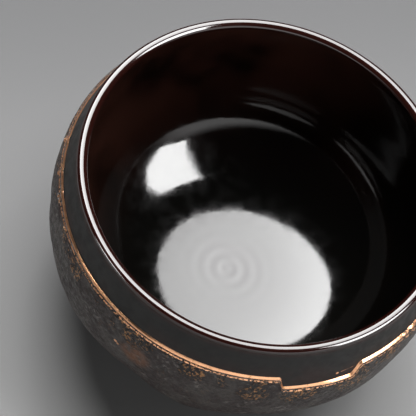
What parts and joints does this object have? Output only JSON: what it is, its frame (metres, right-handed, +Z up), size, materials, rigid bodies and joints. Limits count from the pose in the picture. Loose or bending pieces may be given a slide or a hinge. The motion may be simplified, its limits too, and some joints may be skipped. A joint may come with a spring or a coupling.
{
  "type": "tea bowl",
  "caption": "Round stoneware tea bowl with a glossy dark inside and lip, a smooth band, and a rough outer shell that ends in a notched, gilded ledge.",
  "frame": {"origin": "centre of the foot ring's underside, on the bowl's axis", "axes": "+Z up along the bowl's axis, out of its mouth; -Y towards the viewer, with the ledge's notch to the viewer's right at about -54 degrees from +X"},
  "size_m": [0.1203, 0.1202, 0.0685],
  "materials": {
    "glaze": "glossy black-brown glaze inside and on the lip, satin band outside, rough unglazed dark shell below a gilded ledge"
  },
  "bodies": {
    "root": {"bowl": "glaze"}
  },
  "joints": []
}
